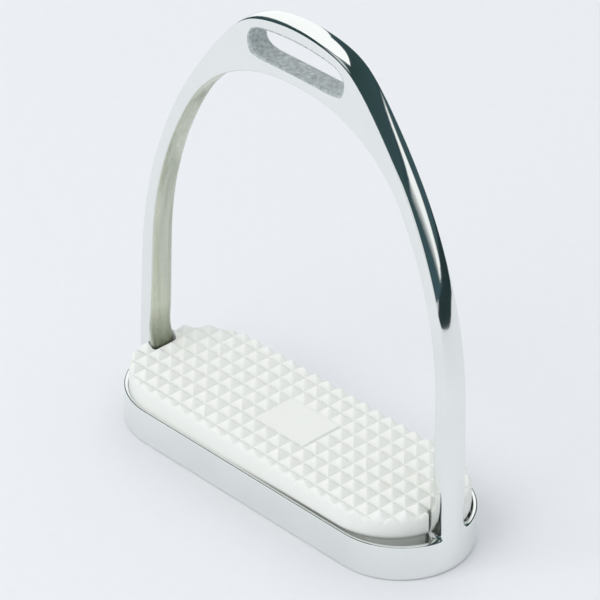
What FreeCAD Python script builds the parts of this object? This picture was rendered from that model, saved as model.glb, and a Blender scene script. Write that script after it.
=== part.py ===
"""A Fillis stirrup iron with its rubber tread pad, as a parametric FreeCAD document.

Millimetres, +Z up. The iron stands on the plane Z = 0, its tread runs along X and the rider's
foot goes through the arch along Y. The origin is the middle of the base.
"""
import FreeCAD, Part
import math
import os
import Sketcher

doc = FreeCAD.newDocument("StirrupIron")
vec = FreeCAD.Vector

# ---------------------------------------------------------------- driving dimensions
SIZES = (
    # the tray: a shallow ring with straight sides, half-round ends and a floor
    ("ring_length", 132.0),
    ("ring_width", 46.2),
    ("ring_height", 12.0),
    ("side_wall", 0.9),
    ("end_wall", 1.6),
    ("base_round", 1.4),
    ("floor_thickness", 2.6),
    # two windows in the floor take the pad's keys, with a bar left between them
    ("window_length", 86.0),
    ("window_width", 9.0),
    ("window_offset", 10.5),
    # the bow: crown, shoulder and leg arcs run into each other, then into a straight foot
    ("bow_top", 153.8),
    ("outer_crown_radius", 57.5),
    ("outer_crown_reach", 15.85),
    ("outer_shoulder_radius", 20.5),
    ("outer_shoulder_reach", 24.94),
    ("outer_leg_radius", 142.0),
    ("outer_foot_reach", 65.6),
    ("arch_top", 135.7),
    ("inner_crown_radius", 68.7),
    ("inner_crown_reach", 10.75),
    ("inner_shoulder_radius", 45.8),
    ("inner_shoulder_reach", 43.25),
    ("inner_leg_radius", 116.0),
    ("inner_foot_reach", 59.7),
    ("foot_sink", 0.6),
    # the bow is deepest at the feet and thins all the way up to the crown
    ("foot_depth", 9.4),
    ("crown_depth", 6.8),
    ("outer_edge_round", 1.8),
    ("inner_edge_round", 1.3),
    # the eye for the stirrup leather has a flat floor, round ends and an arched roof
    ("eye_length", 37.4),
    ("eye_floor", 139.5),
    ("eye_end_radius", 4.3),
    ("eye_roof_radius", 80.0),
    # the rubber tread pad
    ("pad_length", 123.2),
    ("pad_width", 43.8),
    ("pad_valley", 18.4),
    ("pad_draft", 5.0),
    ("pad_shift", 0.3),
    ("notch_width", 10.8),
    ("notch_reach", 58.5),
    ("pyramid_pitch", 5.27),
    ("pyramid_rise", 2.1),
    ("pyramid_land", 0.5),
    ("panel_columns", 4.0),
    ("panel_rows", 3.0),
    ("panel_margin", 0.8),
    ("panel_rise", 0.7),
    # the keys moulded under the pad plug the windows
    ("key_play", 0.4),
    ("key_end_play", 1.2),
    ("key_recess", 0.4),
)
sheet = doc.addObject("Spreadsheet::Sheet", "Sizes")
for row, (name, value) in enumerate(SIZES, start=1):
    sheet.set("A%d" % row, name)
    sheet.set("B%d" % row, str(value))
    sheet.setAlias("B%d" % row, name)
doc.recompute()

START, END, CENTRE = 1, 2, 3  # the points of a sketch edge
ORIGIN, ACROSS, UPWARD = -1, -1, -2  # the sketch origin (with START) and its two axes


def size(name):
    """The number that a cell of the sheet holds."""
    return float(sheet.get(name))


def new_body(name):
    """An empty PartDesign body."""
    body = doc.addObject("PartDesign::Body", name)
    body.Label = name
    return body


def plane(body, role):
    """One of the body's own origin planes."""
    return next(f for f in body.Origin.OriginFeatures if f.Role == role)


def new_sketch(body, name, role, height=None):
    """A sketch on an origin plane of the body, raised by an expression where one is given."""
    sketch = body.newObject("Sketcher::SketchObject", name)
    sketch.AttachmentSupport = [(plane(body, role), "")]
    sketch.MapMode = "FlatFace"
    if height:
        sketch.setExpression("AttachmentOffset.Base.z", height)
    return sketch


def rule(sketch, kind, *where):
    """A constraint with no size."""
    return sketch.addConstraint(Sketcher.Constraint(kind, *where))


def measure(sketch, name, expression, kind, *where):
    """A named constraint whose size is an expression on the sheet; the value starts as drawn."""
    index = sketch.addConstraint(Sketcher.Constraint(kind, *where))
    sketch.renameConstraint(index, name)
    sketch.setExpression("Constraints.%s" % name, expression)
    return index


def arc(sketch, x, y, radius, first, last):
    """A circular arc, anticlockwise between two angles in degrees."""
    circle = Part.Circle(vec(x, y, 0), vec(0, 0, 1), radius)
    return sketch.addGeometry(Part.ArcOfCircle(circle, math.radians(first), math.radians(last)))


def line(sketch, x1, y1, x2, y2):
    """A straight edge."""
    return sketch.addGeometry(Part.LineSegment(vec(x1, y1, 0), vec(x2, y2, 0)))


def chain(sketch, kind, *edges):
    """Joins (edge, end) to (edge, end) in pairs, as corners or as tangent joints."""
    for (edge_a, end_a), (edge_b, end_b) in edges:
        rule(sketch, kind, edge_a, end_a, edge_b, end_b)


def stadium(sketch, tag, half_length, radius, offset=None, side=1):
    """A slot shape along the sketch's first axis: its half length, end radius and, where it
    stands off the axis, the distance to it are expressions; side says which side it is on."""
    reach, turn, away = 40.0, 10.0, 12.0 * side if offset else 0.0
    right = arc(sketch, reach, away, turn, -90, 90)
    left = arc(sketch, -reach, away, turn, 90, 270)
    far = line(sketch, reach, away + turn, -reach, away + turn)
    near = line(sketch, -reach, away - turn, reach, away - turn)
    chain(sketch, "Tangent", ((right, END), (far, START)), ((far, END), (left, START)),
          ((left, END), (near, START)), ((near, END), (right, START)))
    rule(sketch, "Equal", right, left)
    rule(sketch, "Symmetric", right, CENTRE, left, CENTRE, UPWARD)
    measure(sketch, tag + "_radius", radius, "Radius", right, turn)
    measure(sketch, tag + "_centre", "%s - (%s)" % (half_length, radius),
            "DistanceX", ORIGIN, START, right, CENTRE, reach)
    if offset is None:
        rule(sketch, "PointOnObject", right, CENTRE, ACROSS)
    elif side > 0:
        measure(sketch, tag + "_offset", offset, "DistanceY", ORIGIN, START, right, CENTRE, away)
    else:
        measure(sketch, tag + "_offset", offset, "DistanceY", right, CENTRE, ORIGIN, START, -away)


def extrude(body, kind, name, sketch, length=None, **options):
    """A Pad or Pocket of a sketch, as long as the expression says."""
    feature = body.newObject("PartDesign::" + kind, name)
    feature.Profile = sketch
    for option, value in options.items():
        setattr(feature, option, value)
    if length:
        feature.setExpression("Length", length)
    doc.recompute()
    return feature


def round_edges(body, name, base, radius, chosen):
    """A fillet on the edges of the base feature that the test chooses."""
    names = ["Edge%d" % n for n, edge in enumerate(base.Shape.Edges, start=1) if chosen(edge)]
    fillet = body.newObject("PartDesign::Fillet", name)
    fillet.Base = (base, names)
    fillet.setExpression("Radius", radius)
    doc.recompute()
    return fillet


# ---------------------------------------------------------------- the tray of the iron
tray = new_body("tray")
outline = new_sketch(tray, "RingOutline", "XY_Plane")
stadium(outline, "ring", "Sizes.ring_length / 2", "Sizes.ring_width / 2")
ring = extrude(tray, "Pad", "Ring", outline, "Sizes.ring_height")
base = round_edges(tray, "BaseRound", ring, "Sizes.base_round",
                   lambda edge: edge.BoundBox.ZMax < 0.01)

hollow = new_sketch(tray, "HollowOutline", "XY_Plane", "Sizes.ring_height")
stadium(hollow, "hollow", "Sizes.ring_length / 2 - Sizes.end_wall",
        "Sizes.ring_width / 2 - Sizes.side_wall")
extrude(tray, "Pocket", "Hollow", hollow, "Sizes.ring_height - Sizes.floor_thickness")

for side, name in ((1, "Far"), (-1, "Near")):
    window = new_sketch(tray, name + "WindowOutline", "XY_Plane", "Sizes.floor_thickness")
    stadium(window, "window", "Sizes.window_length / 2", "Sizes.window_width / 2",
            "Sizes.window_offset", side)
    extrude(tray, "Pocket", name + "Window", window, "Sizes.floor_thickness")

# ---------------------------------------------------------------- the bow of the iron
def bow_line(sketch, tag, top):
    """One edge of the bow from the middle of the crown down to the foot: three tangent arcs and
    a straight line. Returns the crown arc and the foot line."""
    radii = [size("%s_%s_radius" % (tag, part)) for part in ("crown", "shoulder", "leg")]
    reaches = [size("%s_%s_reach" % (tag, part)) for part in ("crown", "shoulder")]
    foot_reach = size(tag + "_foot_reach")
    leg_lean = 88.5  # degrees from the crown's tangent to the foot's, as first drawn
    turn, x, y = 0.0, 0.0, size(top)
    arcs = []
    for radius, reach in zip(radii, reaches + [None]):
        if reach is None:
            next_turn = leg_lean
        else:
            next_turn = math.degrees(math.asin(math.sin(math.radians(turn)) + (reach - x) / radius))
        centre_x = x - radius * math.sin(math.radians(turn))
        centre_y = y - radius * math.cos(math.radians(turn))
        arcs.append(arc(sketch, centre_x, centre_y, radius, 90 - next_turn, 90 - turn))
        turn = next_turn
        x = centre_x + radius * math.sin(math.radians(turn))
        y = centre_y + radius * math.cos(math.radians(turn))
    foot = line(sketch, x, y, foot_reach, size("floor_thickness") - size("foot_sink"))
    crown, shoulder, leg = arcs
    chain(sketch, "Tangent", ((crown, START), (shoulder, END)), ((shoulder, START), (leg, END)),
          ((leg, START), (foot, START)))
    rule(sketch, "PointOnObject", crown, CENTRE, UPWARD)
    rule(sketch, "PointOnObject", crown, END, UPWARD)
    for part, edge, radius in zip(("crown", "shoulder", "leg"), arcs, radii):
        alias = "%s_%s_radius" % (tag, part)
        measure(sketch, alias, "Sizes." + alias, "Radius", edge, radius)
    for part, edge, reach in zip(("crown", "shoulder"), arcs, reaches):
        alias = "%s_%s_reach" % (tag, part)
        measure(sketch, alias, "Sizes." + alias, "DistanceX", ORIGIN, START, edge, START, reach)
    alias = tag + "_foot_reach"
    measure(sketch, alias, "Sizes." + alias, "DistanceX", ORIGIN, START, foot, END, foot_reach)
    measure(sketch, top, "Sizes." + top, "DistanceY", ORIGIN, START, crown, END, size(top))
    return crown, foot


bow = new_body("bow")
half = new_sketch(bow, "HalfBow", "XZ_Plane")
outer_crown, outer_foot = bow_line(half, "outer", "bow_top")
inner_crown, inner_foot = bow_line(half, "inner", "arch_top")
foot_bottom = size("floor_thickness") - size("foot_sink")
sole = line(half, size("outer_foot_reach"), foot_bottom, size("inner_foot_reach"), foot_bottom)
middle = line(half, 0, size("arch_top"), 0, size("bow_top"))
chain(half, "Coincident", ((outer_foot, END), (sole, START)), ((sole, END), (inner_foot, END)),
      ((inner_crown, END), (middle, START)), ((middle, END), (outer_crown, END)))
rule(half, "Horizontal", sole)
measure(half, "foot_bottom", "Sizes.floor_thickness - Sizes.foot_sink", "DistanceY",
        ORIGIN, START, sole, START, foot_bottom)
one_side = extrude(bow, "Pad", "OneSide", half, "Sizes.foot_depth", SideType="Symmetric")
both_sides = bow.newObject("PartDesign::Mirrored", "BothSides")
both_sides.Originals = [one_side]
both_sides.MirrorPlane = (plane(bow, "YZ_Plane"), [""])
bow.Tip = both_sides
doc.recompute()

# both faces lean in towards the crown, so a wedge comes off the front and one off the back
lean = new_sketch(bow, "LeanOutline", "YZ_Plane")
for side, word in ((1, "back"), (-1, "front")):
    low = (side * size("foot_depth") / 2, 0)
    high = (side * size("crown_depth") / 2, size("bow_top") + 1)
    outside = side * size("foot_depth")
    corners = [low, high, (outside, high[1]), (outside, 0)]
    edges = [line(lean, *a, *b) for a, b in zip(corners, corners[1:] + corners[:1])]
    chain(lean, "Coincident",
          *[((a, END), (b, START)) for a, b in zip(edges, edges[1:] + edges[:1])])
    slope, top_edge, far_edge, low_edge = edges
    rule(lean, "Horizontal", top_edge)
    rule(lean, "Vertical", far_edge)
    rule(lean, "PointOnObject", slope, START, ACROSS)
    rule(lean, "PointOnObject", far_edge, END, ACROSS)
    measure(lean, word + "_top", "Sizes.bow_top + 1", "DistanceY", ORIGIN, START, slope, END,
            high[1])
    for name, expression, edge, end, reach in (
            ("foot", "Sizes.foot_depth / 2", slope, START, abs(low[0])),
            ("crown", "Sizes.crown_depth / 2", slope, END, abs(high[0])),
            ("outside", "Sizes.foot_depth", far_edge, START, abs(outside))):
        span = (ORIGIN, START, edge, end) if side > 0 else (edge, end, ORIGIN, START)
        measure(lean, "%s_%s" % (word, name), expression, "DistanceX", *span, reach)
faces = extrude(bow, "Pocket", "LeaningFaces", lean, SideType="Symmetric", Type="ThroughAll")


def contour_edges(shape, outward):
    """The long edges round the outside of the bow, or those round the arch."""
    arch_middle = vec(0, 0, size("arch_top") / 2)
    found = []
    for face in shape.Faces:
        u_first, u_last, v_first, v_last = face.ParameterRange
        point = face.valueAt((u_first + u_last) / 2, (v_first + v_last) / 2)
        normal = face.normalAt((u_first + u_last) / 2, (v_first + v_last) / 2)
        front_or_back = abs(normal.y) > 0.5
        sole_face = point.z < size("floor_thickness")
        if front_or_back or sole_face or ((point - arch_middle).dot(normal) > 0) != outward:
            continue
        found += [edge for edge in face.Edges if abs(edge.CenterOfMass.y) > 1]
    return found


def among(edges):
    """A test for round_edges: whether an edge is one of these."""
    return lambda edge: any(edge.isSame(other) for other in edges)


outer_round = round_edges(bow, "OuterRound", faces, "Sizes.outer_edge_round",
                          among(contour_edges(faces.Shape, True)))
inner_round = round_edges(bow, "InnerRound", outer_round, "Sizes.inner_edge_round",
                          among(contour_edges(outer_round.Shape, False)))

# the eye: one end arc each side, tangent to the flat floor and to the arched roof
eye = new_sketch(bow, "EyeOutline", "XZ_Plane")
end_radius = size("eye_end_radius")
end_x = size("eye_length") / 2 - end_radius
end_y = size("eye_floor") + end_radius
roof_radius = size("eye_roof_radius")
roof_half_angle = math.degrees(math.asin(end_x / (roof_radius - end_radius)))
roof_y = end_y - math.sqrt((roof_radius - end_radius) ** 2 - end_x ** 2)
right = arc(eye, end_x, end_y, end_radius, -90, 90 - roof_half_angle)
roof = arc(eye, 0, roof_y, roof_radius, 90 - roof_half_angle, 90 + roof_half_angle)
left = arc(eye, -end_x, end_y, end_radius, 90 + roof_half_angle, 270)
eye_floor = line(eye, -end_x, size("eye_floor"), end_x, size("eye_floor"))
chain(eye, "Tangent", ((right, END), (roof, START)), ((roof, END), (left, START)),
      ((left, END), (eye_floor, START)), ((eye_floor, END), (right, START)))
rule(eye, "Equal", right, left)
rule(eye, "PointOnObject", roof, CENTRE, UPWARD)
measure(eye, "end_radius", "Sizes.eye_end_radius", "Radius", right, end_radius)
measure(eye, "roof_radius", "Sizes.eye_roof_radius", "Radius", roof, roof_radius)
measure(eye, "end_centre", "Sizes.eye_length / 2 - Sizes.eye_end_radius", "DistanceX",
        ORIGIN, START, right, CENTRE, end_x)
measure(eye, "floor", "Sizes.eye_floor", "DistanceY", ORIGIN, START, eye_floor, START,
        size("eye_floor"))
extrude(bow, "Pocket", "Eye", eye, SideType="Symmetric", Type="ThroughAll")

# ---------------------------------------------------------------- the iron, one casting
iron = doc.addObject("Part::MultiFuse", "iron")
iron.Label = "iron"
iron.Shapes = [tray, bow]
iron.Refine = True
doc.recompute()

# ---------------------------------------------------------------- the tread pad
pad = new_body("tread_pad")
FULL_TOP = "(Sizes.pad_valley + Sizes.pyramid_rise)"


def pad_block(name, height, length):
    """A block of the pad's full plan shape, from one height up."""
    sketch = new_sketch(pad, name + "Outline", "XY_Plane", height)
    stadium(sketch, "pad", "Sizes.pad_length / 2", "Sizes.pad_width / 2")
    return extrude(pad, "Pad", name, sketch, length)


pad_block("Skirt", "Sizes.floor_thickness", "Sizes.ring_height - Sizes.floor_thickness")
tread = pad_block("Tread", "Sizes.ring_height", FULL_TOP + " - Sizes.ring_height")
tread.setExpression("TaperAngle", "-Sizes.pad_draft")
doc.recompute()

# a notch at each end lets the pad pass between the legs
notch = new_sketch(pad, "NotchOutline", "XY_Plane", FULL_TOP)
near_x, far_x, half_y = size("notch_reach"), size("pad_length"), size("notch_width") / 2
corners = [(near_x, -half_y), (far_x, -half_y), (far_x, half_y), (near_x, half_y)]
edges = [line(notch, *a, *b) for a, b in zip(corners, corners[1:] + corners[:1])]
chain(notch, "Coincident",
      *[((a, END), (b, START)) for a, b in zip(edges, edges[1:] + edges[:1])])
for edge, kind in zip(edges, ("Horizontal", "Vertical", "Horizontal")):
    rule(notch, kind, edge)
rule(notch, "Symmetric", edges[3], START, edges[3], END, ACROSS)
measure(notch, "reach", "Sizes.notch_reach", "DistanceX", ORIGIN, START, edges[0], START, near_x)
measure(notch, "far", "Sizes.pad_length", "DistanceX", ORIGIN, START, edges[0], END, far_x)
measure(notch, "width", "Sizes.notch_width", "DistanceY", edges[1], START, edges[1], END,
        2 * half_y)
one_notch = extrude(pad, "Pocket", "Notch", notch, FULL_TOP + " - Sizes.floor_thickness + 1")
both_notches = pad.newObject("PartDesign::Mirrored", "BothNotches")
both_notches.Originals = [one_notch]
both_notches.MirrorPlane = (plane(pad, "YZ_Plane"), [""])
pad.Tip = both_notches
doc.recompute()

for side, name in ((1, "Far"), (-1, "Near")):
    key = new_sketch(pad, name + "KeyOutline", "XY_Plane", "Sizes.floor_thickness")
    stadium(key, "key", "Sizes.window_length / 2 - Sizes.key_end_play",
            "Sizes.window_width / 2 - Sizes.key_play", "Sizes.window_offset", side)
    extrude(pad, "Pad", name + "Key", key, "Sizes.floor_thickness - Sizes.key_recess",
            Reversed=True)

# V grooves cut both ways leave rows of square pyramids
def groove_row(name, role, axis, count, phase):
    """V grooves in one direction, a pitch apart; phase is the first one's place in pitches."""
    valley, rise = size("pad_valley"), size("pyramid_rise")
    half = (size("pyramid_pitch") - size("pyramid_land")) / 2
    x = phase * size("pyramid_pitch")
    section = new_sketch(pad, name + "Section", role)
    edges = [line(section, x, valley, x + half, valley + rise),
             line(section, x + half, valley + rise, x - half, valley + rise),
             line(section, x - half, valley + rise, x, valley)]
    chain(section, "Coincident",
          *[((a, END), (b, START)) for a, b in zip(edges, edges[1:] + edges[:1])])
    slope, mouth, back_slope = edges
    rule(section, "Horizontal", mouth)
    rule(section, "Equal", slope, back_slope)
    measure(section, "place", "%s * Sizes.pyramid_pitch" % -phase, "DistanceX",
            slope, START, ORIGIN, START, -x)
    measure(section, "valley", "Sizes.pad_valley", "DistanceY", ORIGIN, START, slope, START,
            valley)
    measure(section, "rise", "Sizes.pyramid_rise", "DistanceY", slope, START, slope, END, rise)
    measure(section, "half", "(Sizes.pyramid_pitch - Sizes.pyramid_land) / 2", "DistanceX",
            slope, START, slope, END, half)
    cut = extrude(pad, "Pocket", name, section, SideType="Symmetric", Type="ThroughAll")
    row = pad.newObject("PartDesign::LinearPattern", name + "Row")
    row.Originals = [cut]
    row.Direction = (plane(pad, axis), [""])
    row.setExpression("Length", "%d * Sizes.pyramid_pitch" % (count - 1))
    row.Occurrences = count
    pad.Tip = row
    doc.recompute()
    return row


groove_row("LongGroove", "YZ_Plane", "Y_Axis", 8, -3.5)
groove_row("CrossGroove", "XZ_Plane", "X_Axis", 23, -11.0)


def panel_rectangle(name, height, margin):
    """A rectangle over the middle of the pad, a whole number of pitches less a margin."""
    sketch = new_sketch(pad, name, "XY_Plane", height)
    pitch = size("pyramid_pitch")
    half_x = size("panel_columns") * pitch / 2 - margin * size("panel_margin") / 2
    half_y = size("panel_rows") * pitch / 2 - margin * size("panel_margin") / 2
    corners = [(-half_x, -half_y), (half_x, -half_y), (half_x, half_y), (-half_x, half_y)]
    edges = [line(sketch, *a, *b) for a, b in zip(corners, corners[1:] + corners[:1])]
    chain(sketch, "Coincident",
          *[((a, END), (b, START)) for a, b in zip(edges, edges[1:] + edges[:1])])
    for edge, kind in zip(edges, ("Horizontal", "Vertical", "Horizontal", "Vertical")):
        rule(sketch, kind, edge)
    rule(sketch, "Symmetric", edges[0], START, edges[2], START, ORIGIN, START)
    text = "Sizes.panel_%s * Sizes.pyramid_pitch - %d * Sizes.panel_margin"
    measure(sketch, "length", text % ("columns", margin), "DistanceX",
            edges[0], START, edges[0], END, 2 * half_x)
    measure(sketch, "width", text % ("rows", margin), "DistanceY",
            edges[1], START, edges[1], END, 2 * half_y)
    return sketch


# the middle pyramids give way to a smooth raised panel
extrude(pad, "Pocket", "PanelClearing", panel_rectangle("ClearingOutline", FULL_TOP, 0),
        "Sizes.pyramid_rise")
extrude(pad, "Pad", "Panel", panel_rectangle("PanelOutline", "Sizes.pad_valley", 1),
        "Sizes.panel_rise")
pad.setExpression("Placement.Base.x", "-Sizes.pad_shift")
doc.recompute()

# ---------------------------------------------------------------- checks and the STEP files
for item in doc.Objects:
    if "Invalid" in item.State or "Error" in item.State:
        raise RuntimeError("%s failed: %s" % (item.Name, item.getStatusString()))
os.makedirs("parts", exist_ok=True)
for piece in (iron, pad):
    shape = piece.Shape
    if shape.isNull() or not shape.isValid() or len(shape.Solids) != 1:
        raise RuntimeError("%s is not one valid solid" % piece.Label)
    shape.exportStep("parts/%s.step" % piece.Label)
    box = shape.optimalBoundingBox(False)
    print("%-10s %8.0f mm3  X %.2f to %.2f  Y %.2f to %.2f  Z %.2f to %.2f" % (
        piece.Label, shape.Volume, box.XMin, box.XMax, box.YMin, box.YMax, box.ZMin, box.ZMax))
print("iron and pad share %.3f mm3" % iron.Shape.common(pad.Shape).Volume)
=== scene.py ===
import math

import bmesh
import bpy
from mathutils import Matrix, Vector


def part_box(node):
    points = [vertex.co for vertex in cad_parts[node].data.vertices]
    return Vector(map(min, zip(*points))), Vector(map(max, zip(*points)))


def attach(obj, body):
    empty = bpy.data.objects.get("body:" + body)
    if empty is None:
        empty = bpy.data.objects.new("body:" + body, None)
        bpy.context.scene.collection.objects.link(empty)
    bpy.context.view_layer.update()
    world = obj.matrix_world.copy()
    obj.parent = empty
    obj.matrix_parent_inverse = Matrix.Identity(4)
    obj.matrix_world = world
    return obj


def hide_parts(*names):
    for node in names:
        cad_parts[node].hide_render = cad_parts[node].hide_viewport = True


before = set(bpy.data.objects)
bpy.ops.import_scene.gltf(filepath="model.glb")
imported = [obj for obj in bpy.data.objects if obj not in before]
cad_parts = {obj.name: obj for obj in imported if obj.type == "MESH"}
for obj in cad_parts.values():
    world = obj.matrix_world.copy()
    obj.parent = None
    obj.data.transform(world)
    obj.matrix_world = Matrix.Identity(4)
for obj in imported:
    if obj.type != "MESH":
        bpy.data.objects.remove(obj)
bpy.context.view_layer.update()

# ------------------------------------------------------------------ the iron
# One investment casting in stainless steel, ground and mirror polished: a bow with an eye for
# the leather, and a tray round the tread. The legs stand inside the tray, and their outsides run
# straight into its ends. Nothing is fixed to anything here; the tray, legs and crown are one skin.
MM = 0.001
_, iron_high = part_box("iron")
ring_reach = iron_high.x / MM
ring_half_width = iron_high.y / MM
crown_top = iron_high.z / MM
ring_top = 12.0
floor_top = 2.6
ring_centre = ring_reach - ring_half_width
arch_top = 135.7
# the bow gets thinner, front to back, from the base up to this height
foot_depth, crown_depth, crown_depth_height = 9.6, 7.2, 154.8

ARC_POINTS = 80  # points in each arc of the bow's edges
FOOT_STEPS = 120  # steps in the straight stretch at their feet


def bow_contour(top, radii, reaches, foot):
    """One edge of the bow in close points from the middle of the crown to the foot: three
    tangent arcs, the first two as far out as their reach, then a straight line."""
    x, z, turn = 0.0, top, 0.0
    points = []
    for radius, reach in zip(radii, reaches + (None,)):
        centre = Vector((x - radius * math.sin(turn), z - radius * math.cos(turn)))
        if reach is None:
            away = Vector(foot) - centre
            last = math.atan2(away.x, away.y) - math.acos(radius / away.length)
        else:
            last = math.asin(math.sin(turn) + (reach - x) / radius)
        for step in range(ARC_POINTS):
            at = turn + (last - turn) * step / ARC_POINTS
            points.append(centre + radius * Vector((math.sin(at), math.cos(at))))
        turn = last
        x, z = centre + radius * Vector((math.sin(turn), math.cos(turn)))
    for step in range(FOOT_STEPS + 1):
        points.append(Vector((x, z)).lerp(Vector(foot), step / FOOT_STEPS))
    return points


outer_line = bow_contour(crown_top, (57.5, 20.5, 142.0), (15.85, 24.94), (66.25, 2.0))
inner_line = bow_contour(arch_top, (68.7, 45.8, 116.0), (10.75, 43.25), (60.1, 2.0))


def at_coordinate(line, axis, value):
    """The point of a contour where x (axis 0) or z (axis 1) has this value."""
    for a, b in zip(line, line[1:]):
        if (a[axis] - value) * (b[axis] - value) <= 0 and a[axis] != b[axis]:
            return a.lerp(b, (value - a[axis]) / (b[axis] - a[axis]))
    return line[-1].copy()


def along(line, start, distance):
    """The point and the outward normal this far along a contour, past where x is start."""
    walked = 0.0
    for a, b in zip(line, line[1:]):
        if b.x <= start:
            continue
        begin = at_coordinate(line, 0, start) if a.x < start else a
        span = (b - begin).length
        if walked + span >= distance:
            way = (b - a).normalized()
            return begin.lerp(b, (distance - walked) / span), Vector((-way.y, way.x))
        walked += span
    return line[-1].copy(), Vector((1.0, 0.0))


def meet(start, way, line):
    """Where a ray crosses a contour."""
    side = Vector((-way.y, way.x))
    for a, b in zip(line, line[1:]):
        da, db = (a - start).dot(side), (b - start).dot(side)
        if da * db <= 0 and da != db:
            return a.lerp(b, da / (da - db))
    return line[-1].copy()


def ease(value, low, high):
    """0 below low, 1 above high and a smooth step between."""
    t = min(max((value - low) / (high - low), 0.0), 1.0)
    return t * t * (3 - 2 * t)


# stations down one side of the bow, as (outer point, inner point): upright ones over the eye and
# just past it, then ones that turn to stand across the leg
eye_columns = (0.0, 3.6, 7.2, 10.8, 14.2, 17.9)
EYE_END = len(eye_columns) - 1  # the station at the eye's round end
last_upright = 22.3
first_gap, station_gap = 4.2, 4.4
turning_stretch, leg_low = 24.0, 29.0
side_stations = [(at_coordinate(outer_line, 0, x), at_coordinate(inner_line, 0, x))
                 for x in eye_columns + (last_upright,)]
distance = first_gap
inner_point, normal = along(inner_line, last_upright, distance)
while inner_point.y >= leg_low:
    lean = math.atan2(normal.x, normal.y) * ease(distance, 0.0, turning_stretch)
    across = Vector((math.sin(lean), math.cos(lean)))
    side_stations.append((meet(inner_point, across, outer_line), inner_point))
    distance += station_gap
    inner_point, normal = along(inner_line, last_upright, distance)
# the inside of each foot flares into the tray just above the pad
root_inside = 58.4
for height, inside in ((26.0, 59.95), (23.2, 59.6), (20.9, 59.0), (18.9, 58.55),
                       (16.4, root_inside), (13.5, root_inside)):
    side_stations.append((at_coordinate(outer_line, 1, height), Vector((inside, height))))

# the eye: a flat floor, round ends and an arched roof; its end points stand out a little,
# because subdivision draws them in
eye_floor, eye_end_x, eye_end_z, eye_end_radius = 139.45, 14.4, 143.8, 5.0
eye_roof_radius, eye_roof_middle = 80.0, 149.5

# a section's points: 0 to 4 on the outside, 5 to 9 on the back, 10 to 14 on the inside and 15 to
# 19 on the front; over the eye, the middle points of the back and the front are left out
SECTION_POINTS, BACK_MIDDLE, FRONT_MIDDLE = 20, 7, 17
FIRST_ROW, LAST_ROW = 0.9, 0.75  # how far the crown's rows stay from its top and its arch


def eye_roof(x):
    """The height of the eye's roof."""
    return eye_roof_middle - eye_roof_radius + math.sqrt(eye_roof_radius ** 2 - x * x)


def section(outer, inner, column):
    """The bow's section between two contour points, as twenty points: five on the outside,
    five on the back, five on the inside, five on the front. The column is the station's number
    from the middle of the crown, which says whether the eye passes through it."""
    width = (outer - inner).length
    way = (inner - outer).normalized()
    crisp = ease(outer.y, 55.0, 132.0)  # flat faces and tight edges at the crown, rounder legs
    flat = ease(outer.y, 126.0, 148.0)  # the top of the crown is flatter than the legs' outsides
    if column < EYE_END:
        rows = [FIRST_ROW, outer.y - eye_roof(outer.x), outer.y - eye_end_z,
                outer.y - eye_floor, width - LAST_ROW]
    elif column == EYE_END:
        middle, lift = outer.y - eye_end_z, eye_end_radius * math.sqrt(0.5)
        rows = [FIRST_ROW, middle - lift, middle, middle + lift, width - LAST_ROW]
    else:
        crown_rows = [0.95, 0.30 * width, 0.5 * width, 0.72 * width, width - LAST_ROW]
        leg_rows = [0.24 * width, 0.37 * width, 0.5 * width, 0.63 * width, 0.78 * width]
        rows = [crisp * c + (1 - crisp) * l for c, l in zip(crown_rows, leg_rows)]
    points = []

    def put(down, share, side):
        """One point, this far in from the outside and at this share of the half depth."""
        place = outer + way * down
        depth = foot_depth + (crown_depth - foot_depth) * place.y / crown_depth_height
        points.append((place.x, side * depth / 2 * share, place.y))

    corner_in = flat * 0.28 + (1 - flat) * 0.105 * width
    corner_share = flat + (1 - flat) * 0.955
    ease_share = flat * 0.76 + (1 - flat) * 0.52
    ease_in = flat * 0.05 + (1 - flat) * 0.02 * width
    bulge = 0.05 * width * (1 - flat) + 0.32 * flat
    for share, side, down in ((corner_share, -1, corner_in), (ease_share, -1, ease_in),
                              (0.0, 1, -bulge), (ease_share, 1, ease_in),
                              (corner_share, 1, corner_in)):
        put(down, share, side)
    for down in rows:
        put(down, 1.0, 1)
    inner_share = crisp * 0.82 + (1 - crisp) * 0.6
    inside_in = crisp * 0.10 + (1 - crisp) * 0.115 * width
    for share, side, down in ((corner_share, 1, width - inside_in), (inner_share, 1, width),
                              (0.0, 1, width + 0.4 * bulge), (inner_share, -1, width),
                              (corner_share, -1, width - inside_in)):
        put(down, share, side)
    for down in reversed(rows):
        put(down, 1.0, -1)
    if column == EYE_END:
        for index in (BACK_MIDDLE, FRONT_MIDDLE):
            _, y, z = points[index]
            points[index] = (eye_end_x + eye_end_radius, y, z)
    return points


cage = bmesh.new()
inside_layer = cage.verts.layers.float.new("ground_and_shaded_inside")


def vert(x, y, z):
    """A cage point, given in millimetres."""
    return cage.verts.new((x * MM, y * MM, z * MM))


def join_loops(mesh, loops):
    """Faces between each closed loop of points and the next one."""
    made = []
    for near, far in zip(loops, loops[1:]):
        for i in range(len(near)):
            after = (i + 1) % len(near)
            made.append(mesh.faces.new((near[i], near[after], far[after], far[i])))
    return made


def loop_edges(points):
    """The edges between neighbours of a closed loop of points."""
    return [cage.edges.get((a, b)) for a, b in zip(points, points[1:] + points[:1])]


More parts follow.
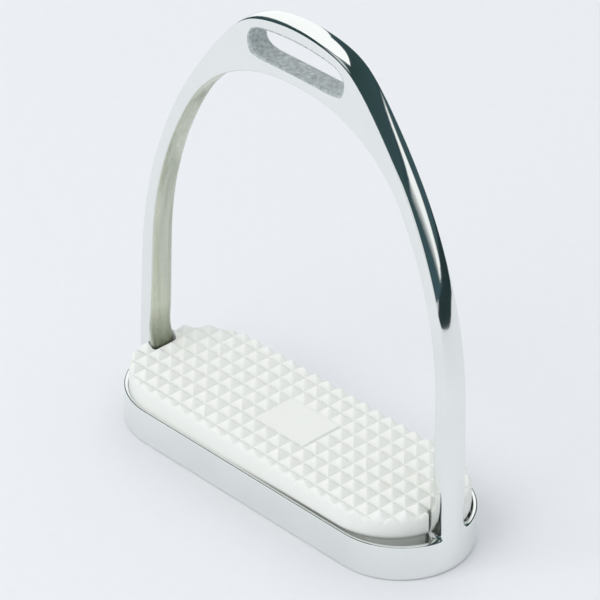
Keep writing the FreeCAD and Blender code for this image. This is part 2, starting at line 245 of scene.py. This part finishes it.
# the tray's section, from under the base, up the outside, over the rim and down the inside:
# (inset, share of the wall, height)
UNDER = ((4.0, 0, 0.0), (2.3, 0, 0.0), (0.95, 0, 0.02), (0.24, 0, 0.26), (0.0, 0, 0.95),
         (0.0, 0, 2.4), (0.0, 0, 6.0), (0.0, 0, 9.6), (0.0, 0, 11.5))
RIM = ((0.0, 0.03, 11.88), (0.0, 0.14, 12.02), (0.0, 0.5, 12.04), (0.0, 0.86, 12.02),
       (0.0, 0.97, 11.88))
INSIDE = ((0.0, 1, 11.5), (0.0, 1, 9.0), (0.0, 1, 5.0), (0.0, 1, 3.3), (0.05, 1, 2.66),
          (1.2, 1, floor_top))
profile = UNDER + RIM + INSIDE
RIM_START, RIM_END = len(UNDER), len(UNDER + RIM)
FLOOR_COLUMN = len(profile) - 1
front_wall, end_wall = 1.05, 1.6
ARC_STEPS, RUN_STEPS = 30, 14  # steps round each end, and along the straight front and back
step_angle = math.pi / ARC_STEPS
# a little wider than the ring, because subdivision draws it in
arc_radius = ring_half_width * 3 / (2 + math.cos(step_angle))
# a leg stands on the middle of each end, where the rim gives way to its root
LEG_STEPS = 2  # arc steps each side of the middle
root_outside, root_width = ring_reach - 0.55, ring_reach - 0.5 - root_inside
root_half_depth, root_top, root_spacing, root_inset_share = 5.0, 12.25, 2.35, 0.8

arcs, runs = {1: [], -1: []}, {1: [], -1: []}  # for each side: (step from the middle, columns)
ends = {}
for side in (1, -1):
    for index in range(-ARC_STEPS // 2, ARC_STEPS // 2 + 1):
        angle = index * step_angle
        wall = front_wall + (end_wall - front_wall) * math.cos(angle)
        on_leg = abs(index) <= LEG_STEPS
        columns = {}
        for number, (inset, share, height) in enumerate(profile):
            on_rim = RIM_START <= number < RIM_END
            if on_rim and abs(index) < LEG_STEPS:
                continue
            reach = arc_radius - inset - share * wall
            x = ring_centre + reach * math.cos(angle)
            y = reach * math.sin(angle)
            if on_leg and on_rim:
                x = root_outside - share * root_width
                y = math.copysign(root_half_depth, index)
                height = root_top
            if on_leg and number >= RIM_END:
                x = root_inside - inset * root_inset_share
                y = index * root_spacing
            columns[number] = vert(side * x, y, height)
        arcs[side].append((index, columns))
        ends[side, index] = columns
    for step in range(1, RUN_STEPS):
        x = ring_centre * (1 - 2 * step / RUN_STEPS)
        columns = {}
        for number, (inset, share, height) in enumerate(profile):
            y = ring_half_width - inset - share * front_wall
            columns[number] = vert(side * x, side * y, height)
        runs[side].append((None, columns))
# the left end's steps run from back to front, so that the loop goes on round
loop = arcs[1] + runs[1] + arcs[-1][::-1] + runs[-1]
for (index_a, a), (index_b, b) in zip(loop, loop[1:] + loop[:1]):
    under_leg = all(index is not None and abs(index) <= LEG_STEPS for index in (index_a, index_b))
    for number in range(FLOOR_COLUMN):
        if under_leg and RIM_START - 1 <= number < RIM_END:
            continue
        cage.faces.new((a[number], b[number], b[number + 1], a[number + 1]))

# the windows in the floor, which the pad's keys plug
slot_out = 10.5
window_half_length, window_radius = 38.5, 4.5


def slot_outline(side, half_length, radius, steps):
    """The points round a slot with round ends, behind the middle (side 1) or in front of it."""
    points = []
    for end in (1, -1):
        for step in range(steps + 1):
            angle = -math.pi / 2 + math.pi * step / steps
            points.append((end * (half_length + radius * math.cos(angle)),
                           side * slot_out + end * radius * math.sin(angle)))
    return points


def window(side):
    """One window's wall, with its loops of points on the base and on the floor."""
    outline = slot_outline(side, window_half_length, window_radius, 8)
    low = [vert(x, y, 0.0) for x, y in outline]
    high = [vert(x, y, floor_top) for x, y in outline]
    join_loops(cage, (low, high))
    return low, high


windows = [window(1), window(-1)]
for level, column in ((0, 0), (1, FLOOR_COLUMN)):
    edges = loop_edges([columns[column] for _, columns in loop])
    for pair in windows:
        edges += loop_edges(pair[level])
    bmesh.ops.triangle_fill(cage, use_beauty=True, edges=edges)
crease = cage.edges.layers.float.new("crease_edge")
for pair in windows:
    for points in pair:
        for edge in loop_edges(points):
            edge[crease] = 1.0
            edge.smooth = False


def leg_root(side):
    """The tray's own points that a leg grows out of, in a section's order."""
    root = [ends[side, i][RIM_START - 1] for i in range(-LEG_STEPS, LEG_STEPS + 1)]
    root += [ends[side, LEG_STEPS][n] for n in range(RIM_START, RIM_END)]
    root += [ends[side, i][RIM_END] for i in range(LEG_STEPS, -LEG_STEPS - 1, -1)]
    root += [ends[side, -LEG_STEPS][n] for n in range(RIM_END - 1, RIM_START - 1, -1)]
    return root


# rings of points from the right foot over the crown to the left foot
# the inside points of each section: their steel is ground, and its colour there is painted darker
# and olive as shade
GROUND_AND_SHADED_INSIDE = {10: 0.6, 11: 1.0, 12: 1.0, 13: 1.0, 14: 0.6}
rings = [leg_root(1)]
eye_rows = []
stations = [(1, number) for number in range(len(side_stations) - 1, -1, -1)]
stations += [(-1, number) for number in range(1, len(side_stations))]
for side, number in stations:
    outer, inner = side_stations[number]
    row = []
    for index, (x, y, z) in enumerate(section(outer, inner, number)):
        if number < EYE_END and index in (BACK_MIDDLE, FRONT_MIDDLE):
            row.append(None)
            continue
        point = vert(side * x, y, z)
        point[inside_layer] = GROUND_AND_SHADED_INSIDE.get(index, 0.0)
        row.append(point)
    rings.append(row)
    if number <= EYE_END:
        eye_rows.append(row)
rings.append(leg_root(-1))
for a, b in zip(rings, rings[1:]):
    for index in range(SECTION_POINTS):
        after = (index + 1) % SECTION_POINTS
        corners = (a[index], b[index], b[after], a[after])
        if None not in corners:
            cage.faces.new(corners)


def eye_edge(middle, to_roof):
    """The eye's edge on one face of the crown, all the way round. The roof's points are one
    step from a section's middle one, and the floor's are one step the other way."""
    edge = [row[middle + to_roof] for row in eye_rows]
    edge.append(eye_rows[-1][middle])
    edge += [row[middle - to_roof] for row in reversed(eye_rows)]
    edge.append(eye_rows[0][middle])
    return edge


# the eye's wall, from front to back
back_edge = eye_edge(BACK_MIDDLE, -1)
front_edge = eye_edge(FRONT_MIDDLE, 1)
levels = [front_edge]
for share in (0.33, 0.67):
    levels.append([cage.verts.new(f.co.lerp(b.co, share)) for f, b in zip(front_edge, back_edge)])
levels.append(back_edge)
for face in join_loops(cage, levels):
    face.material_index = 1
bmesh.ops.recalc_face_normals(cage, faces=cage.faces)
eye_rims = loop_edges(front_edge) + loop_edges(back_edge)
bmesh.ops.bevel(cage, geom=eye_rims, offset=0.25 * MM, segments=1, profile=0.5,
                affect="EDGES", clamp_overlap=True, material=1)
for face in cage.faces:
    face.smooth = True


def put_object(name, data):
    """A new object, placed in the scene."""
    made = bpy.data.objects.new(name, data)
    bpy.context.collection.objects.link(made)
    return made


def new_material(name):
    """A new material, with its tree and its shader."""
    material = bpy.data.materials.new(name)
    material.use_nodes = True
    return material, material.node_tree, material.node_tree.nodes["Principled BSDF"]


def put_node(tree, kind, inputs=None, **settings):
    """A new node with these properties; an input takes a value or another node's output."""
    made = tree.nodes.new(kind)
    for name, value in settings.items():
        setattr(made, name, value)
    for name, value in (inputs or {}).items():
        if isinstance(value, bpy.types.NodeSocket):
            tree.links.new(value, made.inputs[name])
        else:
            made.inputs[name].default_value = value
    return made


def spread_out(tree, value, low, high, to_low=0.0, to_high=1.0):
    """A value between low and high, stretched to another range and kept inside it."""
    made = put_node(tree, "ShaderNodeMapRange", {"Value": value, "From Min": low, "From Max": high,
                                                 "To Min": to_low, "To Max": to_high})
    return made.outputs["Result"]


def mixed_colour(tree, factor, first, second):
    """Two colours mixed by a mask."""
    made = put_node(tree, "ShaderNodeMix", {0: factor, 6: first, 7: second}, data_type="RGBA")
    return made.outputs[2]


def mixed_value(tree, factor, first, second):
    """Two values mixed by a mask."""
    made = put_node(tree, "ShaderNodeMix", {0: factor, 2: first, 3: second}, data_type="FLOAT")
    return made.outputs[0]


def worked_out(tree, operation, *values):
    """A sum, product or comparison of values."""
    made = put_node(tree, "ShaderNodeMath", dict(enumerate(values)), operation=operation)
    return made.outputs[0]


def add_relief(tree, shader, height, strength, depth):
    """A fine relief in a material's surface, at most this many millimetres deep."""
    made = put_node(tree, "ShaderNodeBump", {"Height": height, "Strength": strength,
                                             "Distance": depth * MM})
    tree.links.new(made.outputs[0], shader.inputs["Normal"])


def surface_grain():
    """The shader group for uneven surfaces: broad patches and a finer grain on top, both from
    0 to 1. The scale is in patches per metre, and the stretch draws them out along an axis."""
    group = bpy.data.node_groups.new("surface_grain", "ShaderNodeTree")
    face = group.interface
    face.new_socket("Scale", in_out="INPUT", socket_type="NodeSocketFloat")
    face.new_socket("Stretch", in_out="INPUT", socket_type="NodeSocketVector")
    face.new_socket("Patches", in_out="OUTPUT", socket_type="NodeSocketFloat")
    face.new_socket("Grain", in_out="OUTPUT", socket_type="NodeSocketFloat")
    given = put_node(group, "NodeGroupInput")
    place = put_node(group, "ShaderNodeTexCoord")
    drawn = put_node(group, "ShaderNodeVectorMath",
                     {0: place.outputs["Object"], 1: given.outputs["Stretch"]},
                     operation="MULTIPLY")
    broad = put_node(group, "ShaderNodeTexNoise",
                     {"Vector": drawn.outputs[0], "Scale": given.outputs["Scale"],
                      "Detail": 3.0, "Roughness": 0.55, "Distortion": 0.3})
    finer = worked_out(group, "MULTIPLY", given.outputs["Scale"], 7.0)
    fine = put_node(group, "ShaderNodeTexNoise",
                    {"Vector": drawn.outputs[0], "Scale": finer, "Detail": 2.0, "Roughness": 0.6})
    put_node(group, "NodeGroupOutput",
             {"Patches": spread_out(group, broad.outputs["Fac"], 0.30, 0.70),
              "Grain": spread_out(group, fine.outputs["Fac"], 0.25, 0.75)})
    return group


def grain_node(tree, scale, stretch=(1.0, 1.0, 1.0)):
    """The grain group placed in a material."""
    made = tree.nodes.new("ShaderNodeGroup")
    made.node_tree = bpy.data.node_groups.get("surface_grain") or surface_grain()
    made.inputs["Scale"].default_value = scale
    made.inputs["Stretch"].default_value = stretch
    return made


def height_above(tree, low, high):
    """0 at the lower height over the base and 1 at the higher one, in millimetres."""
    place = put_node(tree, "ShaderNodeTexCoord")
    split = put_node(tree, "ShaderNodeSeparateXYZ", {0: place.outputs["Object"]})
    return spread_out(tree, split.outputs["Z"], low * MM, high * MM)


# outsides and flat faces are mirror polished, with faint hand marks; the insides of the legs and
# of the arch are only ground, in streaks down the leg, with a dark olive tint painted on as shade
# and dim reflection, and a near-black painted reflection at each foot
polished, tree, shader = new_material("polished_stainless")
shader.inputs["Metallic"].default_value = 1.0
marks = grain_node(tree, 38.0)
streaks = grain_node(tree, 150.0, (1.0, 1.0, 0.05))
inner_side = put_node(tree, "ShaderNodeAttribute", attribute_name="ground_and_shaded_inside")
ground_and_shaded_side = spread_out(tree, inner_side.outputs["Fac"], 0.35, 0.8)
# painted shade: the inside's colour is painted dark olive, standing in for shade and dim
# reflection on the side away from the light; the streaks in it are the real ground finish
ground_streaks_and_painted_shade = mixed_colour(tree, streaks.outputs["Patches"], (0.33, 0.36, 0.27, 1),
                             (0.70, 0.72, 0.62, 1))
# painted reflection: the inside of each foot is painted near black towards the pad, standing in
# for the dark reflection and shade there
painted_foot_shade = spread_out(tree, height_above(tree, 17.0, 33.0), 0.0, 1.0, 0.85, 0.0)
foot_painted_shade_colour = mixed_colour(tree, painted_foot_shade, ground_streaks_and_painted_shade, (0.13, 0.15, 0.09, 1))
mirror_colour = mixed_colour(tree, marks.outputs["Patches"], (0.88, 0.90, 0.885, 1),
                             (0.84, 0.86, 0.84, 1))
steel_colour = mixed_colour(tree, ground_and_shaded_side, mirror_colour, foot_painted_shade_colour)
tree.links.new(steel_colour, shader.inputs["Base Color"])
mirror_rough = spread_out(tree, marks.outputs["Patches"], 0.2, 1.0, 0.055, 0.10)
ground_rough = spread_out(tree, streaks.outputs["Grain"], 0.0, 1.0, 0.22, 0.38)
tree.links.new(mixed_value(tree, ground_and_shaded_side, mirror_rough, ground_rough), shader.inputs["Roughness"])
hand_finish = mixed_value(tree, ground_and_shaded_side, marks.outputs["Grain"], streaks.outputs["Grain"])
add_relief(tree, shader, hand_finish, 0.10, 0.05)

# the wall of the eye is left as it came from the mould, with a grainy skin
as_cast, tree, shader = new_material("as_cast_steel")
shader.inputs["Metallic"].default_value = 0.4
skin = grain_node(tree, 800.0)
skin_colour = mixed_colour(tree, skin.outputs["Patches"], (0.40, 0.44, 0.44, 1),
                           (0.74, 0.79, 0.79, 1))
tree.links.new(skin_colour, shader.inputs["Base Color"])
tree.links.new(spread_out(tree, skin.outputs["Grain"], 0.0, 1.0, 0.38, 0.62),
               shader.inputs["Roughness"])
add_relief(tree, shader, skin.outputs["Grain"], 0.6, 0.25)

iron_cage = bpy.data.meshes.new("iron_casting")
cage.to_mesh(iron_cage)
cage.free()
iron_cage.materials.append(polished)
iron_cage.materials.append(as_cast)
iron = put_object("iron_casting", iron_cage)
subdivision = iron.modifiers.new("polish", "SUBSURF")
subdivision.levels = subdivision.render_levels = 2
iron_mesh = bpy.data.meshes.new_from_object(
    iron.evaluated_get(bpy.context.evaluated_depsgraph_get()))
iron.modifiers.clear()
iron.data = iron_mesh
bpy.data.meshes.remove(iron_cage)
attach(iron, "iron_body")
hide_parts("iron")

# ------------------------------------------------------------------ the tread pad
# One moulding in white rubber: small square pyramids for grip, a smooth raised panel in the
# middle, a soft rounded border, and a notch at each end for the legs. Two keys under it push into
# the windows of the tray's floor and hold it there, so that it can be pulled out and replaced.
pitch = 5.27
pad_valley, pyramid_rise = 18.4, 2.1
HALF_PYRAMID = (0.0, 0.05, 0.14, 0.40, 0.68, 0.90, 1.0)  # mesh lines from a valley to a tip
tip_flat = 0.9  # the share of the way up where the worn tips are cut off
edge_rise = 0.72  # how high the pyramids at the border are, as a share
panel_reach, panel_half_depth, panel_rise = 10.3, 7.65, 0.62
gap_reach, gap_half_depth = 10.53, 7.9  # the smooth gap round the panel
pad_bottom = 2.66
top_radius, border_round = 21.75, 1.0
# how far along the outline's end arcs have their centres, by the signs of x and y
end_centres = {(1, -1): 38.6, (1, 1): 42.0, (-1, -1): -42.4, (-1, 1): -42.4}
# the side, from its top edge down: (height, how far outside the top's outline)
pad_side = ((16.6, 0.08), (15.0, 0.15), (13.4, 0.2), (12.6, 0.12), (12.1, -0.2), (11.5, -0.8),
            (10.4, -1.1), (pad_bottom, -1.1))
touching_reach = 0.25  # how far outside the top's outline the side is where it meets the tray


def grid_lines(phase, reach):
    """The places of the mesh lines along one direction, with each one's share of the way from
    its valley to its tip. Phase is a valley's place in pitches."""
    lines = []
    halves = math.ceil(2 * reach / pitch) + 2
    for half in range(-halves, halves):
        start = (phase + half / 2) * pitch
        rising = half % 2 == 0
        for share in (HALF_PYRAMID[:-1] if rising else HALF_PYRAMID[:0:-1]):
            way = share if rising else 1 - share
            lines.append((start + way * pitch / 2, share))
    return [line for line in lines if abs(line[0]) < reach]


def border(x, y):
    """How far a point is inside the pad's top outline, and the outline's outward normal."""
    centre = end_centres[1 if x > 0 else -1, 1 if y > 0 else -1]
    if abs(x) > abs(centre):
        away = Vector((x - centre, y))
    else:
        away = Vector((0.0, y))
    depth = top_radius - away.length
    return depth, (away.normalized() if away.length > 1e-6 else Vector((0.0, 1.0)))


def wear(column, row):
    """A small difference in height from one tip to the next."""
    return 0.10 * math.sin(column * 12.9898 + row * 78.233) * math.cos(column * 3.7 - row * 1.9)


x_lines = grid_lines(0.0, 69.0)
y_lines = grid_lines(0.5, 27.6)
pad_mesh = bmesh.new()
grid = []
for x, x_share in x_lines:
    column = []
    for y, y_share in y_lines:
        depth, normal = border(x, y)
        share = min(min(x_share, y_share) / tip_flat, 1.0)
        fade = edge_rise + (1 - edge_rise) * ease(depth, 0.3, 3.0)
        worn = wear(math.floor(x / pitch), math.floor(y / pitch + 0.5))
        height = pad_valley + share * fade * (pyramid_rise + worn)
        if abs(x) < gap_reach and abs(y) < gap_half_depth:
            on_panel = abs(x) < panel_reach and abs(y) < panel_half_depth
            height = pad_valley + (panel_rise if on_panel else 0.0)
        place = Vector((x, y))
        if depth < border_round:
            below = border_round - max(depth, 0.0)
            height -= border_round - math.sqrt(border_round ** 2 - below ** 2)
        if depth < 0:
            place += normal * depth
        column.append((pad_mesh.verts.new((place.x * MM, place.y * MM, height * MM)), depth))
    grid.append(column)
for a, b in zip(grid, grid[1:]):
    for j in range(len(y_lines) - 1):
        corners = (a[j], b[j], b[j + 1], a[j + 1])
        if all(depth <= 0 for _, depth in corners):
            continue
        points = [point for point, _ in corners]
        # a face that isn't flat is split along the ridge
        twist = points[0].co.z + points[2].co.z - points[1].co.z - points[3].co.z
        if abs(twist) < 0.002 * MM:
            pad_mesh.faces.new(points)
        elif twist > 0:
            pad_mesh.faces.new((points[0], points[1], points[2]))
            pad_mesh.faces.new((points[0], points[2], points[3]))
        else:
            pad_mesh.faces.new((points[1], points[2], points[3]))
            pad_mesh.faces.new((points[1], points[3], points[0]))
bmesh.ops.delete(pad_mesh, geom=[v for v in pad_mesh.verts if not v.link_faces], context="VERTS")
bmesh.ops.dissolve_degenerate(pad_mesh, dist=0.01 * MM, edges=pad_mesh.edges)
rim_edges = [edge for edge in pad_mesh.edges if edge.is_boundary]
for height, reach in pad_side:
    made = bmesh.ops.extrude_edge_only(pad_mesh, edges=rim_edges)["geom"]
    for point in made:
        if isinstance(point, bmesh.types.BMVert):
            depth, normal = border(point.co.x / MM, point.co.y / MM)
            # the pad sits a little to the left: its side meets the tray there and clears it here
            clear = ease(point.co.x / MM, -15.0, 38.0)
            over_tray = height > ring_top + 0.5
            reach_here = reach if over_tray else clear * reach + (1 - clear) * touching_reach
            place = Vector((point.co.x, point.co.y)) + normal * (depth + reach_here) * MM
            point.co = (place.x, place.y, height * MM)
    rim_edges = [edge for edge in made
                 if isinstance(edge, bmesh.types.BMEdge) and edge.is_boundary]
bmesh.ops.holes_fill(pad_mesh, edges=rim_edges, sides=0)

# the keys that plug the windows, a little smaller and bevelled at the foot: (inset, height)
key_half_length, key_radius = 38.1, 4.1
key_levels = ((0.0, pad_bottom + 0.2), (0.0, 1.0), (0.5, 0.45))
for side in (1, -1):
    outline = slot_outline(side, key_half_length, key_radius, 12)
    levels = []
    for inset, height in key_levels:
        levels.append([pad_mesh.verts.new(((x - math.copysign(inset, x)) * MM,
                                           (y - math.copysign(inset, y - side * slot_out)) * MM,
                                           height * MM)) for x, y in outline])
    join_loops(pad_mesh, levels)
    pad_mesh.faces.new(levels[0])
    pad_mesh.faces.new(levels[-1][::-1])
bmesh.ops.recalc_face_normals(pad_mesh, faces=pad_mesh.faces)
pad_data = bpy.data.meshes.new("tread_pad_moulding")
pad_mesh.to_mesh(pad_data)
pad_mesh.free()
pad = put_object("tread_pad_moulding", pad_data)

# the notches are cut with one tool: a block at each end, with rounded inner corners
right_notch, left_notch = 57.95, -58.05
notch_width, notch_corner = 10.3, 1.3
tool_reach, tool_height = 80.0, 60.0
tool_mesh = bmesh.new()
for near, far in ((right_notch, tool_reach), (left_notch, -tool_reach)):
    block = bmesh.ops.create_cube(tool_mesh, size=1.0)["verts"]
    for point in block:
        x, y, z = point.co
        point.co = Vector(((near + far) / 2 + x * abs(far - near), y * notch_width,
                           z * tool_height)) * MM
    inner_edges = [edge for edge in {e for v in block for e in v.link_edges}
                   if all(abs(v.co.x - near * MM) < 1e-6 for v in edge.verts)
                   and abs(edge.verts[0].co.y - edge.verts[1].co.y) < 1e-6]
    bmesh.ops.bevel(tool_mesh, geom=inner_edges, offset=notch_corner * MM, segments=4,
                    profile=0.5, affect="EDGES")
tool_data = bpy.data.meshes.new("notch_tool")
tool_mesh.to_mesh(tool_data)
tool_mesh.free()
tool = put_object("notch_tool", tool_data)
cut = pad.modifiers.new("notches", "BOOLEAN")
cut.operation = "DIFFERENCE"
cut.object = tool
cut.solver = "EXACT"
cut_mesh = bpy.data.meshes.new_from_object(
    pad.evaluated_get(bpy.context.evaluated_depsgraph_get()))
pad.modifiers.clear()
pad.data = cut_mesh
bpy.data.objects.remove(tool)

crisp_angle = math.radians(57)  # edges that turn by more than this stay sharp
shading = bmesh.new()
shading.from_mesh(cut_mesh)
for face in shading.faces:
    face.smooth = True
for edge in shading.edges:
    edge.smooth = edge.calc_face_angle(0.0) < crisp_angle
shading.to_mesh(cut_mesh)
shading.free()

rubber, tree, shader = new_material("white_rubber")
shader.inputs["Specular IOR Level"].default_value = 0.35
bloom = grain_node(tree, 110.0)
pores = grain_node(tree, 900.0)
# painted shade: the rubber is painted darker towards the valleys between the pyramids and lighter
# at their tips
painted_valley_shade = height_above(tree, pad_valley - 0.4, pad_valley + 0.9 * pyramid_rise)
rubber_with_painted_valley_shade = mixed_colour(tree, painted_valley_shade, (0.80, 0.815, 0.785, 1), (0.865, 0.875, 0.85, 1))
cloudiness = spread_out(tree, bloom.outputs["Patches"], 0.0, 1.0, 0.0, 0.35)
tree.links.new(mixed_colour(tree, cloudiness, rubber_with_painted_valley_shade, (0.81, 0.815, 0.765, 1)),
               shader.inputs["Base Color"])
tree.links.new(spread_out(tree, pores.outputs["Patches"], 0.0, 1.0, 0.50, 0.68),
               shader.inputs["Roughness"])
add_relief(tree, shader, pores.outputs["Patches"], 0.35, 0.06)
pad.data.materials.clear()
pad.data.materials.append(rubber)
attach(pad, "pad_body")
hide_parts("tread_pad")

# ------------------------------------------------------------------ the floor, light and camera
# The iron stands loose on a plain pale sheet of paper in a soft white studio. Cards that only
# the polished steel mirrors stand round it, and give it its dark and bright bands.
floor_mesh = bpy.data.meshes.new("floor")
floor_mesh.from_pydata([(-2, -2, 0), (2, -2, 0), (2, 2, 0), (-2, 2, 0)], [], [(0, 1, 2, 3)])
floor = put_object("floor", floor_mesh)
paper, tree, shader = new_material("pale_sheet")
fibres = grain_node(tree, 260.0)
tree.links.new(mixed_colour(tree, fibres.outputs["Patches"], (0.820, 0.833, 0.857, 1),
                            (0.830, 0.843, 0.867, 1)), shader.inputs["Base Color"])
tree.links.new(spread_out(tree, fibres.outputs["Grain"], 0.0, 1.0, 0.85, 0.95),
               shader.inputs["Roughness"])
add_relief(tree, shader, fibres.outputs["Grain"], 0.05, 0.05)
floor.data.materials.append(paper)

# even soft light on everything matt; in the metal, a dim room with a paler ceiling
world = bpy.data.worlds.new("studio")
bpy.context.scene.world = world
world.use_nodes = True
tree = world.node_tree
tree.nodes.clear()
direction = put_node(tree, "ShaderNodeTexCoord")
split = put_node(tree, "ShaderNodeSeparateXYZ", {0: direction.outputs["Generated"]})
walls = put_node(tree, "ShaderNodeValToRGB", {"Fac": split.outputs["Z"]})
walls.color_ramp.elements.new(0.92)
for element, colour in zip(walls.color_ramp.elements,
                           ((0.045, 0.090, 0.105, 1), (0.026, 0.052, 0.052, 1),
                            (0.75, 0.80, 0.82, 1))):
    element.color = colour
room = put_node(tree, "ShaderNodeBackground", {"Color": walls.outputs["Color"]})
even = put_node(tree, "ShaderNodeBackground", {"Color": (0.95, 0.975, 1.0, 1), "Strength": 0.80})
beyond = put_node(tree, "ShaderNodeBackground", {"Color": (0.82, 0.86, 0.91, 1)})
ray = put_node(tree, "ShaderNodeLightPath")
# light that reaches the sheet by way of the metal is the even light, so that the metal
# doesn't darken it
seen_straight = worked_out(tree, "LESS_THAN", ray.outputs["Diffuse Depth"], 0.5)
mirrored = worked_out(tree, "MULTIPLY", ray.outputs["Is Glossy Ray"], seen_straight)
in_metal = put_node(tree, "ShaderNodeMixShader",
                    {0: mirrored, 1: even.outputs[0], 2: room.outputs[0]})
seen = put_node(tree, "ShaderNodeMixShader",
                {0: ray.outputs["Is Camera Ray"], 1: in_metal.outputs[0], 2: beyond.outputs[0]})
put_node(tree, "ShaderNodeOutputWorld", {"Surface": seen.outputs[0]})

tread_middle = Vector((0, 0, 0.05))


def softbox(name, place, width, height, power, colour=(1.0, 1.0, 1.0)):
    """A soft rectangular light that faces the tread."""
    lamp = bpy.data.lights.new(name, "AREA")
    lamp.shape = "RECTANGLE"
    lamp.size, lamp.size_y = width, height
    lamp.energy = power
    lamp.color = colour
    light = put_object(name, lamp)
    light.location = place
    light.rotation_mode = "QUATERNION"
    light.rotation_quaternion = (tread_middle - Vector(place)).to_track_quat("-Z", "Y")
    light.visible_camera = light.visible_glossy = False


softbox("front_left_box", (-0.25, -1.35, 1.35), 1.5, 1.5, 14.5, (1.0, 0.99, 0.97))
softbox("back_left_box", (-0.42, 0.85, 0.78), 1.0, 0.75, 0.9)


def card(name, corners, colour, strength, soft_sides=False):
    """A flat card that only the polished metal mirrors, like a studio's flags and strips. With
    soft sides, its glow fades towards its two sides and its head."""
    mesh = bpy.data.meshes.new(name)
    mesh.from_pydata(corners, [], [tuple(range(len(corners)))])
    material, tree, shader = new_material(name)
    shader.inputs["Base Color"].default_value = (0, 0, 0, 1)
    shader.inputs["Specular IOR Level"].default_value = 0.0
    shader.inputs["Emission Color"].default_value = (*colour, 1)
    shader.inputs["Emission Strength"].default_value = strength
    if soft_sides:
        sheet = mesh.uv_layers.new(name="sheet")
        for loop_point, corner in zip(sheet.data, ((0, 0), (0, 1), (1, 1), (1, 0))):
            loop_point.uv = corner
        place = put_node(tree, "ShaderNodeTexCoord")
        split = put_node(tree, "ShaderNodeSeparateXYZ", {0: place.outputs["UV"]})
        off_centre = worked_out(tree, "SUBTRACT", split.outputs["X"], 0.5)
        off_centre = worked_out(tree, "ABSOLUTE", off_centre)
        between_sides = spread_out(tree, off_centre, 0.26, 0.5, 1.0, 0.0)
        below_head = spread_out(tree, split.outputs["Y"], 0.74, 0.82, 1.0, 0.0)
        glow = worked_out(tree, "MULTIPLY", between_sides, below_head)
        tree.links.new(mixed_colour(tree, glow, (0.03, 0.06, 0.07, 1), (*colour, 1)),
                       shader.inputs["Emission Color"])
    mesh.materials.append(material)
    piece = put_object(name, mesh)
    piece.visible_camera = piece.visible_diffuse = piece.visible_shadow = False


# a dark flag lies just over the sheet, out to the back right
out = Vector((math.cos(math.radians(45)), math.sin(math.radians(45)), 0))
sideways = Vector((-out.y, out.x, 0))
over_sheet = Vector((0, 0, 0.002))
flag_near, flag_far = out * 0.45 + over_sheet, out * 2.9 + over_sheet
card("dark_flag", [flag_near - sideways * 0.8, flag_far - sideways * 1.2,
                   flag_far + sideways * 1.2, flag_near + sideways * 0.8],
     (0.020, 0.036, 0.040), 1.0)
# a bright strip stands over it, wider at its head
strip_foot, strip_head = Vector((0.90, 0.61, 0.085)), Vector((0.80, 0.70, 0.73))
strip_way = Vector((-0.66, 0.75, 0))
card("light_strip", [strip_foot - strip_way * 0.25, strip_head - strip_way * 0.70,
                     strip_head + strip_way * 0.70, strip_foot + strip_way * 0.25],
     (0.97, 1.0, 1.0), 1.0, soft_sides=True)
card("back_left_card", [Vector((-1.00, 0.58, 0.0)), Vector((-0.58, 0.745, 0.0)),
                        Vector((-0.48, 0.784, 0.70)), Vector((0.45, 1.15, 2.4)),
                        Vector((-1.00, 0.58, 2.4))], (0.98, 1.0, 1.0), 1.10)
card("front_right_card", [Vector((0.25, -1.60, 0.0)), Vector((1.75, -0.25, 0.0)),
                          Vector((1.75, -0.25, 0.95)), Vector((0.25, -1.60, 0.60))],
     (0.93, 0.97, 1.0), 0.80)

bpy.context.scene.view_settings.view_transform = "Standard"

# the camera stands on an orbit round a point over the base, and looks a little past it
camera_data = bpy.data.cameras.new("camera")
camera_data.sensor_width = 36.0
camera_data.lens = 234.6
camera = put_object("camera", camera_data)
azimuth, elevation, roll = math.radians(45.03), math.radians(33.22), math.radians(1.10)
orbit_centre, orbit_radius = Vector((0, 0, 0.05077)), 1.1534
aim_right, aim_up = 0.000238, 0.008355  # how far past it, for each metre of distance
back = Vector((math.sin(azimuth) * math.cos(elevation), -math.cos(azimuth) * math.cos(elevation),
               math.sin(elevation)))
level = Vector((math.cos(azimuth), math.sin(azimuth), 0))
right = math.cos(roll) * level + math.sin(roll) * back.cross(level)
up = back.cross(right)
look = (aim_right * right + aim_up * up - back).normalized()
right = look.cross(up).normalized()
turn = Matrix((right, right.cross(look), -look)).transposed()
camera.matrix_world = Matrix.Translation(orbit_centre + back * orbit_radius) @ turn.to_4x4()
bpy.context.scene.camera = camera
